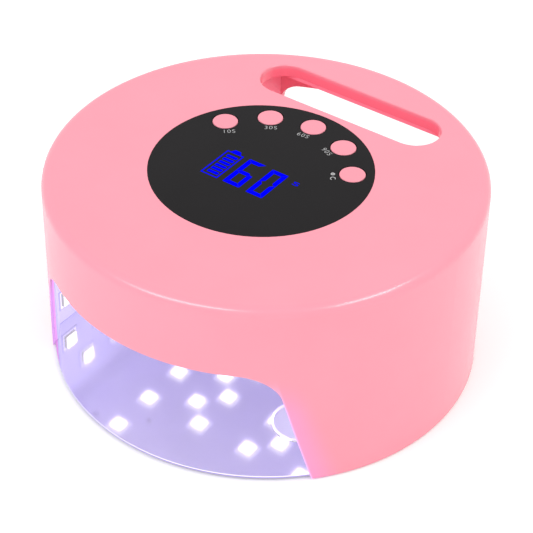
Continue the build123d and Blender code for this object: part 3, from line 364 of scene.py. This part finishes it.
# Painted light: the liner glows as if lit by its lamps, more on the front of its side walls than on its ceiling
CEILING_PAINTED_LIGHT = 0.22
SIDE_WALL_PAINTED_LIGHT = 0.46
liner_tree = liner_lavender.node_tree
add_glow(liner_lavender, LAVENDER_WHITE, 1.0, wall_painted_light(liner_tree, CEILING_PAINTED_LIGHT, SIDE_WALL_PAINTED_LIGHT))
# Painted highlight: a lit magenta strip on the lip's outer edge, tinted and glowing
liner_emission = liner_tree.nodes["shader"].inputs["Emission Color"]
liner_tree.links.new(mix(liner_tree, lip_highlight_mask(liner_tree), LAVENDER_WHITE, LIP_PAINTED_HIGHLIGHT), liner_emission)
tint_where(liner_lavender, lip_highlight_mask(liner_tree), LIP_PAINTED_HIGHLIGHT)
frame_grey = surface("frame_grey", (0.80, 0.79, 0.83), roughness=0.5, grain=700.0, mottle=0.03)
plate_mirror = surface(
    "plate_mirror", (0.84, 0.83, 0.84), roughness=0.1, metallic=1.0, grain=120.0, grain_depth=0.004, mottle=0.02
)
mirror_tree = plate_mirror.node_tree
mirror_x, mirror_y, mirror_z = axes(mirror_tree)
# Bands of the plate where painted highlights and painted shade go
PLATE_EDGE_R = (106.2 * MM, 106.4 * MM)
PLATE_EDGE_TOP = (2.93 * MM, 2.98 * MM)
PLATE_EDGE_FOOT = (2.25 * MM, 2.45 * MM)
RIDGE_TOP = (3.35 * MM, 3.58 * MM)
EDGE_PAINTED_LIGHT = 0.7

# Painted light: its cut edge glows as a painted highlight above and takes a painted dark violet shade below, and the
# ridges round the seats glow as painted highlights
mirror_out = radius(mirror_tree, mirror_x, mirror_y)
cut_edge = both(
    mirror_tree,
    remap(mirror_tree, mirror_out, 0.0, 1.0, *PLATE_EDGE_R),
    remap(mirror_tree, mirror_z, 1.0, 0.0, *PLATE_EDGE_TOP),
)
edge_foot = remap(mirror_tree, mirror_z, 1.0, 0.0, *PLATE_EDGE_FOOT)
tint_where(plate_mirror, both(mirror_tree, cut_edge, edge_foot), EDGE_SHADE_VIOLET)
painted_edge_highlight = both(mirror_tree, cut_edge, calc(mirror_tree, "SUBTRACT", 0.5, both(mirror_tree, edge_foot, 0.5)))
ridge_painted_highlight = remap(mirror_tree, mirror_z, 0.0, 1.0, *RIDGE_TOP)
add_glow(plate_mirror, LAVENDER_WHITE, EDGE_PAINTED_LIGHT, calc(mirror_tree, "ADD", painted_edge_highlight, ridge_painted_highlight))
# The floor of each foot's seat is matt
FOOT_RING_R = 72.4 * MM
SEAT_DEGS = (-40.0, 200.0)
SEAT_MATT_R = 12.5 * MM
SEAT_ROUGHNESS = 0.5
seat_share = 0.0
for seat_deg in SEAT_DEGS:
    seat_x = calc(mirror_tree, "SUBTRACT", mirror_x, FOOT_RING_R * cos(radians(seat_deg)))
    seat_y = calc(mirror_tree, "SUBTRACT", mirror_y, FOOT_RING_R * sin(radians(seat_deg)))
    seat_far = radius(mirror_tree, seat_x, seat_y)
    in_seat = remap(mirror_tree, seat_far, 1.0, 0.0, SEAT_MATT_R, SEAT_MATT_R + 0.3 * MM)
    seat_share = calc(mirror_tree, "MAXIMUM", seat_share, in_seat)
mirror_gloss = mirror_tree.nodes["shader"].inputs["Roughness"]
seat_gloss = both(mirror_tree, seat_share, SEAT_ROUGHNESS)
mirror_tree.links.new(calc(mirror_tree, "MAXIMUM", mirror_gloss.links[0].from_socket, seat_gloss), mirror_gloss)
foot_rubber = surface("foot_rubber", (0.03, 0.03, 0.033), roughness=0.75, specular=0.3, grain=900.0, mottle=0.15)
magnet_nickel = surface("magnet_nickel", (0.72, 0.71, 0.69), roughness=0.16, metallic=1.0, grain=700.0)
board_green = surface("board_green", (0.016, 0.12, 0.045), roughness=0.32, grain=600.0, mottle=0.1, blotch=220.0)
board_white = surface("board_white", (0.84, 0.84, 0.84), roughness=0.35, grain=600.0, mottle=0.03)
led_body = surface("led_body", (0.86, 0.84, 0.78), roughness=0.45, grain=1500.0)
LENS_WHITE = (1.0, 0.96, 1.0)
LENS_VIOLET = (0.84, 0.76, 1.0)
ceiling_lens = lit("ceiling_lens", LENS_WHITE, LENS_VIOLET, 3.0, grain=900.0)
wall_lens = lit("wall_lens", LENS_WHITE, LENS_VIOLET, 3.0, grain=900.0)


def face_on(tree, axis):
    """1 on faces square to an axis, 0 on faces along it."""
    split = tree.nodes.new("ShaderNodeSeparateXYZ")
    tree.links.new(tree.nodes.new("ShaderNodeNewGeometry").outputs["Normal"], split.inputs["Vector"])
    return remap(tree, calc(tree, "ABSOLUTE", split.outputs[axis]), 0.0, 1.0, 0.25, 0.98)


def light_the_face(material, front, side_strength, face_strength):
    """A lens shines from its face, and much less from its sides."""
    tree = material.node_tree
    emission = tree.nodes["Emission"]
    tree.links.new(remap(tree, front, side_strength, face_strength, 0.0, 1.0), emission.inputs["Strength"])


LENS_SIDE_LIGHT = 0.6
LENS_FACE_LIGHT = 3.2
light_the_face(ceiling_lens, face_on(ceiling_lens.node_tree, "Z"), LENS_SIDE_LIGHT, LENS_FACE_LIGHT)
wall_tree = wall_lens.node_tree
on_side_wall = remap(wall_tree, calc(wall_tree, "ABSOLUTE", axes(wall_tree)[0]), 0.0, 1.0, 70 * MM, 75 * MM)
wall_front = calc(
    wall_tree,
    "ADD",
    both(wall_tree, on_side_wall, face_on(wall_tree, "X")),
    both(wall_tree, calc(wall_tree, "SUBTRACT", 1.0, on_side_wall), face_on(wall_tree, "Y")),
)
light_the_face(wall_lens, wall_front, LENS_SIDE_LIGHT, LENS_FACE_LIGHT)
sensor_dark = surface("sensor_dark", (0.02, 0.006, 0.02), roughness=0.1, grain=900.0)
module_black = surface("module_black", (0.012, 0.012, 0.014), roughness=0.45, grain=900.0)
chip_black = surface("chip_black", (0.02, 0.02, 0.02), roughness=0.55, grain=2500.0, mottle=0.1)
can_aluminium = surface("can_aluminium", (0.78, 0.78, 0.80), roughness=0.28, metallic=1.0, grain=900.0)
connector_white = surface("connector_white", (0.82, 0.79, 0.66), roughness=0.45, grain=900.0)
cell_wrap = surface("cell_wrap", (0.02, 0.09, 0.40), roughness=0.28, grain=300.0, mottle=0.06)
tray_black = surface("tray_black", (0.02, 0.02, 0.021), roughness=0.5, grain=1000.0, mottle=0.1)
nickel_strip = surface("nickel_strip", (0.70, 0.68, 0.62), roughness=0.3, metallic=1.0, grain=900.0)
screw_steel = surface("screw_steel", (0.66, 0.66, 0.68), roughness=0.27, metallic=1.0, grain=900.0, mottle=0.06)
socket_black = surface("socket_black", (0.014, 0.014, 0.015), roughness=0.42, grain=1400.0, mottle=0.1)
rocker_black = surface("rocker_black", (0.012, 0.012, 0.013), roughness=0.18, grain=700.0, mottle=0.1)
pin_brass = surface("pin_brass", (0.78, 0.56, 0.22), roughness=0.22, metallic=1.0, grain=900.0)
nut_steel = surface("nut_steel", (0.74, 0.74, 0.76), roughness=0.17, metallic=1.0, grain=700.0)
coil_copper = surface("coil_copper", (0.62, 0.24, 0.10), roughness=0.3, metallic=1.0, grain=500.0, grain_depth=0.2)
sink_aluminium = surface("sink_aluminium", (0.66, 0.66, 0.69), roughness=0.35, metallic=1.0, grain=600.0)
lead_red = surface("lead_red", (0.45, 0.012, 0.012), roughness=0.4, grain=700.0)

cap_tree = cap_pink.node_tree
# Painted shade: the sides of each button cap, down in the gap round it, are dark red
cap_side_shade = remap(cap_tree, axes(cap_tree)[2], 1.0, 0.0, TOP_Z - 0.5 * MM, TOP_Z - 0.3 * MM)
tint_where(cap_pink, cap_side_shade, GAP_SHADE_RED)

BUTTONS = ("button_10s", "button_30s", "button_60s", "button_90s", "button_mode")

dress(shell_pink, "top_housing")
dress(handle_pink, "handle_well", "handle_underside", "port_plate")
dress(cap_pink, *BUTTONS)
dress(panel_black, "display_panel")
dress(guide_black, "button_guide")
dress(liner_lavender, "chamber_liner")
dress(frame_grey, "lower_frame")
dress(plate_mirror, "base_plate")
dress(foot_rubber, "rubber_feet")
dress(magnet_nickel, "magnets")
dress(board_green, "control_board", "power_board")
dress(board_white, "ceiling_led_board", "left_led_board", "right_led_board", "rear_led_board")
dress(led_body, "ceiling_led_packages", "wall_led_packages")
dress(ceiling_lens, "ceiling_led_lenses")
dress(wall_lens, "wall_led_lenses")
dress(sensor_dark, "hand_sensors")
dress(module_black, "display_module")
dress(chip_black, "board_chips", "tact_switches", "buzzer")
dress(can_aluminium, "board_capacitors", "power_capacitors")
dress(connector_white, "board_connectors")
dress(cell_wrap, "battery_cells")
dress(tray_black, "battery_tray")
dress(nickel_strip, "battery_contacts")
dress(socket_black, "switch_body", "dc_jack")
dress(rocker_black, "switch_rocker")
dress(pin_brass, "dc_jack_pin")
dress(nut_steel, "jack_nut")
dress(coil_copper, "power_inductor")
dress(sink_aluminium, "heat_sink")
dress(lead_red, "board_leads")
dress(
    screw_steel,
    "switch_pin",
    "housing_screws",
    "liner_screws",
    "control_board_screws",
    "power_board_screws",
    "led_board_screws",
    "tray_screws",
)

# ------------------------------------------------------------------------------ collars round the lamps
LENS_PROUD = 2.0 * MM
COLLAR_HALF = 6.2 * MM
COLLAR_RISE = 0.35 * MM
COLLAR_HOLE = 4.5 * MM
COLLAR_PAINTED_LIGHT = 1.5


def islands(node):
    """Lowest and highest corner of each separate part of a CAD node."""
    part = bmesh.new()
    part.from_mesh(NODES[node].data)
    bmesh.ops.remove_doubles(part, verts=part.verts, dist=1e-6)
    left_over = set(part.verts)
    boxes = []
    while left_over:
        edge_of_search = [left_over.pop()]
        group = list(edge_of_search)
        while edge_of_search:
            vertex = edge_of_search.pop()
            for link in vertex.link_edges:
                other = link.other_vert(vertex)
                if other in left_over:
                    left_over.remove(other)
                    edge_of_search.append(other)
                    group.append(other)
        spots = [vertex.co for vertex in group]
        boxes.append(
            (
                Vector([min(spot[k] for spot in spots) for k in range(3)]),
                Vector([max(spot[k] for spot in spots) for k in range(3)]),
            )
        )
    part.free()
    return boxes


def collar_frames():
    """For each lens: the point on the wall behind its face, and the directions along and out of the wall."""
    found = []
    for node in ("ceiling_led_lenses", "wall_led_lenses"):
        for low, high in islands(node):
            middle = (low + high) / 2
            if node == "ceiling_led_lenses":
                spot = Vector((middle.x, middle.y, low.z + LENS_PROUD))
                found.append((spot, Vector((1, 0, 0)), Vector((0, 0, -1))))
            elif abs(middle.x) > 0.07:
                way = 1 if middle.x > 0 else -1
                tip = low.x if way > 0 else high.x
                spot = Vector((tip + way * LENS_PROUD, middle.y, middle.z))
                found.append((spot, Vector((0, 1, 0)), Vector((-way, 0, 0))))
            else:
                spot = Vector((middle.x, low.y + LENS_PROUD, middle.z))
                found.append((spot, Vector((1, 0, 0)), Vector((0, -1, 0))))
    return found


def collars_mesh(name):
    """Low square collars, with painted light that is brightest next to their lens."""
    mesh = bpy.data.meshes.new(name)
    sheet = bmesh.new()
    glow = sheet.verts.layers.float.new("glow")
    for spot, along, out in collar_frames():
        across = out.cross(along)
        loops = []
        for half, rise, light in (
            (COLLAR_HALF, -0.02 * MM, 0.0),
            (COLLAR_HALF * 0.97, COLLAR_RISE * 0.4, 0.0),
            (COLLAR_HALF * 0.86, COLLAR_RISE, 0.3),
            (COLLAR_HOLE, COLLAR_RISE * 0.8, 1.0),
            (COLLAR_HOLE, -0.02 * MM, 1.0),
        ):
            loop = []
            for sx, sy in ((-1, -1), (1, -1), (1, 1), (-1, 1)):
                vertex = sheet.verts.new(spot + along * sx * half + across * sy * half + out * rise)
                vertex[glow] = light
                loop.append(vertex)
            loops.append(loop)
        for first, second in zip(loops, loops[1:] + loops[:1]):
            for k in range(4):
                after = (k + 1) % 4
                sheet.faces.new((first[k], first[after], second[after], second[k]))
    bmesh.ops.recalc_face_normals(sheet, faces=sheet.faces)
    sheet.to_mesh(mesh)
    sheet.free()
    return mesh


# Painted light: the collars glow, most next to their lens, as the lamps' light falling on them
collar_painted_light = surface("collar_painted_light", (0.70, 0.66, 0.86), roughness=0.35, grain=800.0, mottle=0.02)
glow_share = collar_painted_light.node_tree.nodes.new("ShaderNodeAttribute")
glow_share.attribute_name = "glow"
add_glow(collar_painted_light, LAVENDER_WHITE, COLLAR_PAINTED_LIGHT, glow_share.outputs["Fac"])
add_piece("lamp_collars", collars_mesh("lamp_collars"), collar_painted_light)

# ------------------------------------------------------------------------------ display
panel_low, panel_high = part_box("display_panel")
PANEL = Vector(((panel_low.x + panel_high.x) / 2, (panel_low.y + panel_high.y) / 2, panel_high.z))
PRINT_LOW = PANEL.z - 0.01 * MM
PRINT_HIGH = PANEL.z + 0.03 * MM

display_blue = lit("display_blue", (0.0, 0.0, 1.0), (0.0, 0.002, 0.96), 1.15)
print_grey = surface("print_grey", (0.42, 0.42, 0.43), roughness=0.45, specular=0.2, grain=2500.0, mottle=0.05)

STROKE = 2.6                   # width of a display segment
SEGMENT_GAP = 0.12             # half of the gap between neighbouring segments
DIGIT_SEGMENTS = {"6": "acdefg", "0": "abcdef"}


def on_panel(points):
    """Millimetres from the centre of the panel, as places in the frame."""
    return [(PANEL.x + x * MM, PANEL.y + y * MM) for x, y in points]


def segment_outlines(digit, left, right, low, high):
    """Bevelled bars of a seven-segment digit in the given box."""
    s, g = STROKE, SEGMENT_GAP
    middle = (low + high) / 2
    upper = (middle + g, high - g)
    lower = (low + g, middle - g)
    bars = {
        "a": ((left + g, high), (right - g, high), (right - s - g, high - s), (left + s + g, high - s)),
        "d": ((left + g, low), (left + s + g, low + s), (right - s - g, low + s), (right - g, low)),
        "g": (
            (left + s / 2 + g, middle),
            (left + s + g, middle + s / 2),
            (right - s - g, middle + s / 2),
            (right - s / 2 - g, middle),
            (right - s - g, middle - s / 2),
            (left + s + g, middle - s / 2),
        ),
    }
    for key, outer, inward, (bottom, top), bevel_top in (
        ("f", left, 1, upper, True),
        ("e", left, 1, lower, False),
        ("b", right, -1, upper, True),
        ("c", right, -1, lower, False),
    ):
        inner = outer + inward * s
        half_way = outer + inward * s / 2
        if bevel_top:
            bars[key] = ((outer, bottom), (outer, top), (inner, top - s), (inner, bottom + s / 2), (half_way, bottom))
        else:
            bars[key] = ((outer, top), (outer, bottom), (inner, bottom + s), (inner, top - s / 2), (half_way, top))
    return [on_panel(bars[key]) for key in DIGIT_SEGMENTS[digit]]


def rectangle(left, right, low, high):
    return [(left, low), (right, low), (right, high), (left, high)]


add_piece(
    "display_digits",
    plates_mesh(
        "display_digits",
        segment_outlines("6", -8.8, 1.05, -20.0, 2.8) + segment_outlines("0", 5.4, 14.9, -20.4, 2.3),
        PRINT_LOW,
        PRINT_HIGH,
    ),
    display_blue,
)

# Battery sign: an outline with its nub, and six bars of charge
BATTERY = (-22.2, -12.2, -20.0, 2.4)
LINE_W = 0.65
left, right, low, high = BATTERY
battery_outlines = [
    on_panel(rectangle(left, left + LINE_W, low, high)),
    on_panel(rectangle(right - LINE_W, right, low, high)),
    on_panel(rectangle(left + LINE_W, right - LINE_W, low, low + LINE_W)),
    on_panel(rectangle(left + LINE_W, right - LINE_W, high - LINE_W, high)),
    on_panel([(-20.3, high), (-14.2, high), (-15.6, 4.7), (-18.9, 4.7)]),
]
BAR_COUNT = 6
BAR_PITCH = 3.1
BAR_H = 2.0
for k in range(BAR_COUNT):
    bar_low = -17.2 + BAR_PITCH * k - BAR_H / 2 + 0.4
    battery_outlines.append(on_panel(rectangle(-20.0, -13.7, bar_low, bar_low + BAR_H)))
battery_mesh = plates_mesh("battery_sign", battery_outlines, PRINT_LOW, PRINT_HIGH)
add_piece("battery_sign", battery_mesh, display_blue)

# Seconds sign to the right of the digits
seconds = text_mesh("seconds_sign", "s", 4.4 * MM, PRINT_HIGH - PRINT_LOW)
seconds.transform(Matrix.Diagonal((1.9, 1.0, 1.0, 1.0)))
seconds.transform(Matrix.Translation((PANEL.x + 21.4 * MM, PANEL.y - 0.4 * MM, (PRINT_LOW + PRINT_HIGH) / 2)))
add_piece("seconds_sign", seconds, display_blue)

# ------------------------------------------------------------------------------ printed signs by the buttons
LABEL_RING_R = 35.5 * MM
LABEL_H = 2.9 * MM
# Words, direction of the sign from the centre of the panel, and direction of its line of print, in degrees
LABELS = (("10S", 153.3, 40.0), ("30S", 118.3, 33.0), ("60S", 89.9, 5.0), ("90S", 60.1, -21.0))


def printed(name, mesh, ring_deg, line_deg):
    """Puts a sign made round the origin in its place on the panel."""
    angle = radians(ring_deg)
    spot = Vector((PANEL.x + LABEL_RING_R * cos(angle), PANEL.y + LABEL_RING_R * sin(angle), PRINT_LOW))
    mesh.transform(Matrix.Translation(spot) @ Matrix.Rotation(radians(line_deg), 4, "Z"))
    add_piece(name, mesh, print_grey)


for words, ring_deg, line_deg in LABELS:
    label = text_mesh(f"label_{words}", words, LABEL_H, PRINT_HIGH - PRINT_LOW)
    printed(f"label_{words}", label, ring_deg, line_deg)

# Sign of the mode button: a small lamp and a switch ring
MODE_DEG = 25.6
MODE_LINE_DEG = -56.0
mode_ring = ring_mesh(
    "mode_ring", (1.9 * MM, 0.0), (0.95 * MM, 1.4 * MM), 0.0, PRINT_HIGH - PRINT_LOW, radians(60), radians(270), 32
)
printed("mode_ring", mode_ring, MODE_DEG, MODE_LINE_DEG)
mode_lamp = ring_mesh("mode_lamp", (-1.9 * MM, 0.0), (0.35 * MM, 1.1 * MM), 0.0, PRINT_HIGH - PRINT_LOW)
printed("mode_lamp", mode_lamp, MODE_DEG, MODE_LINE_DEG)

# ------------------------------------------------------------------------------ floor, light and camera
FLOOR_GLOW = 0.12                # keeps the floor as white as paper
floor_mesh = plates_mesh("floor", [[(-6, -6), (6, -6), (6, 6), (-6, 6)]], -0.01, -0.00005)
floor = bpy.data.objects.new("floor", floor_mesh)
SCENE.collection.objects.link(floor)
floor_white = surface(
    "floor_white", (0.93, 0.93, 0.93), roughness=0.6, specular=0.1, grain=60.0, mottle=0.01, blotch=3.0
)
add_glow(floor_white, (1.0, 1.0, 1.0), FLOOR_GLOW)
floor.data.materials.append(floor_white)

world = bpy.data.worlds.new("studio")
SCENE.world = world
world.use_nodes = True
background = world.node_tree.nodes["Background"]
background.inputs["Color"].default_value = (1.0, 1.0, 1.0, 1.0)
background.inputs["Strength"].default_value = 1.0
SCENE.view_settings.view_transform = "Standard"


def strip_light(name, start, end, distance, width, radiance, shine_only=False, colour=(1.0, 1.0, 1.0)):
    """A long softbox between two directions (azimuth, elevation); one that is shine only gives just highlights."""
    ends = [
        distance * Vector((sin(az) * cos(el), -cos(az) * cos(el), sin(el)))
        for az, el in ((radians(start[0]), radians(start[1])), (radians(end[0]), radians(end[1])))
    ]
    middle = (ends[0] + ends[1]) / 2
    run = ends[1] - ends[0]
    lamp = bpy.data.lights.new(name, "AREA")
    lamp.shape = "RECTANGLE"
    lamp.size = run.length
    lamp.size_y = width
    lamp.energy = radiance * pi * run.length * width
    lamp.color = colour
    holder = bpy.data.objects.new(name, lamp)
    SCENE.collection.objects.link(holder)
    out = middle.normalized()
    along = (run - out * run.dot(out)).normalized()
    holder.matrix_world = Matrix.Translation(middle) @ Matrix((along, out.cross(along), out)).transposed().to_4x4()
    holder.visible_diffuse = not shine_only


WARM_LIGHT = (1.0, 0.90, 0.78)
strip_light("left_softbox", (-36, 34), (14, 56), 1.2, 0.20, 4.4)
strip_light("right_softbox", (72, 52), (132, 56), 1.2, 0.10, 9.0, colour=WARM_LIGHT)
strip_light("left_shine", (-24, 33), (22, 56), 1.15, 0.22, 8.5, shine_only=True)
strip_light("right_shine", (74, 52), (126, 56), 1.15, 0.18, 8.0, shine_only=True)
strip_light("right_spark", (97, 50.5), (104, 50.5), 1.1, 0.10, 30.0, shine_only=True)

AZIMUTH = radians(35.3)
ELEVATION = radians(38.25)
ROLL = radians(0.96)
DISTANCE = 936.39 * MM
LENS = 124.04
back = Vector((sin(AZIMUTH) * cos(ELEVATION), -cos(AZIMUTH) * cos(ELEVATION), sin(ELEVATION)))
right = Vector((cos(AZIMUTH), sin(AZIMUTH), 0))
up = back.cross(right)
rolled_right = right * cos(ROLL) + up * sin(ROLL)
rolled_up = up * cos(ROLL) - right * sin(ROLL)
target = Vector((0, 0, 45 * MM)) + right * 0.78 * MM + up * 0.07 * MM

camera_data = bpy.data.cameras.new("camera")
camera_data.lens = LENS
camera_data.sensor_width = 36.0
camera_data.clip_start = 0.05
camera_data.clip_end = 50.0
camera = bpy.data.objects.new("camera", camera_data)
SCENE.collection.objects.link(camera)
camera.matrix_world = Matrix.Translation(target + back * DISTANCE) @ Matrix(
    (rolled_right, rolled_up, back)
).transposed().to_4x4()
SCENE.camera = camera
